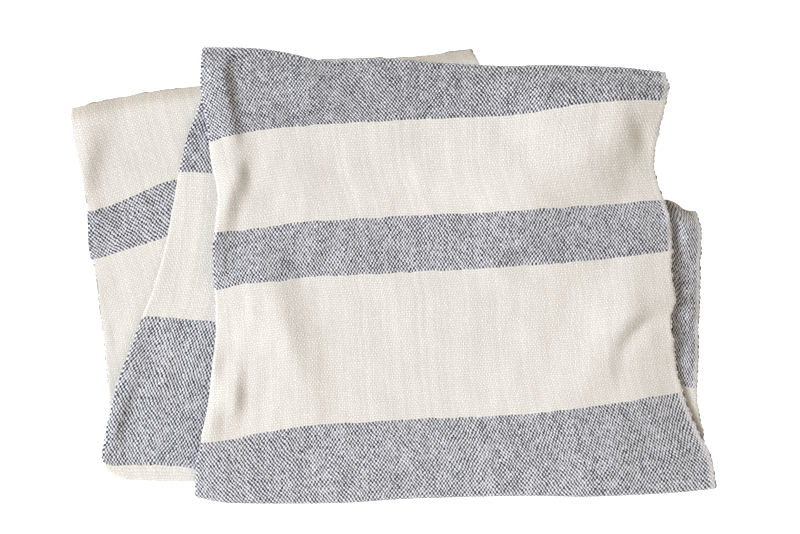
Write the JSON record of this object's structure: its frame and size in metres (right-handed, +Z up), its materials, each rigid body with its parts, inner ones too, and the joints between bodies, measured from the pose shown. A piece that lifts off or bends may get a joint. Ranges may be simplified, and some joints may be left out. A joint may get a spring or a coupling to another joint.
{
  "type": "bath towel",
  "caption": "Loosely folded handwoven bath towel with wide cream and blue-grey stripes, doubled lengthwise and folded back and forth across, lying flat.",
  "frame": {"origin": "on the surface the towel lies on, under the middle of its outline", "axes": "+Z up; +X along the cross folds, from the folded left edges to the selvages; +Y from the two lower cross folds to the upper one"},
  "size_m": [0.577, 0.4114, 0.0329],
  "materials": {
    "cloth": "matte plain weave of thick cotton yarn, cream with wide blue-grey stripes"
  },
  "bodies": {
    "root": {"towel": "cloth"}
  },
  "joints": []
}
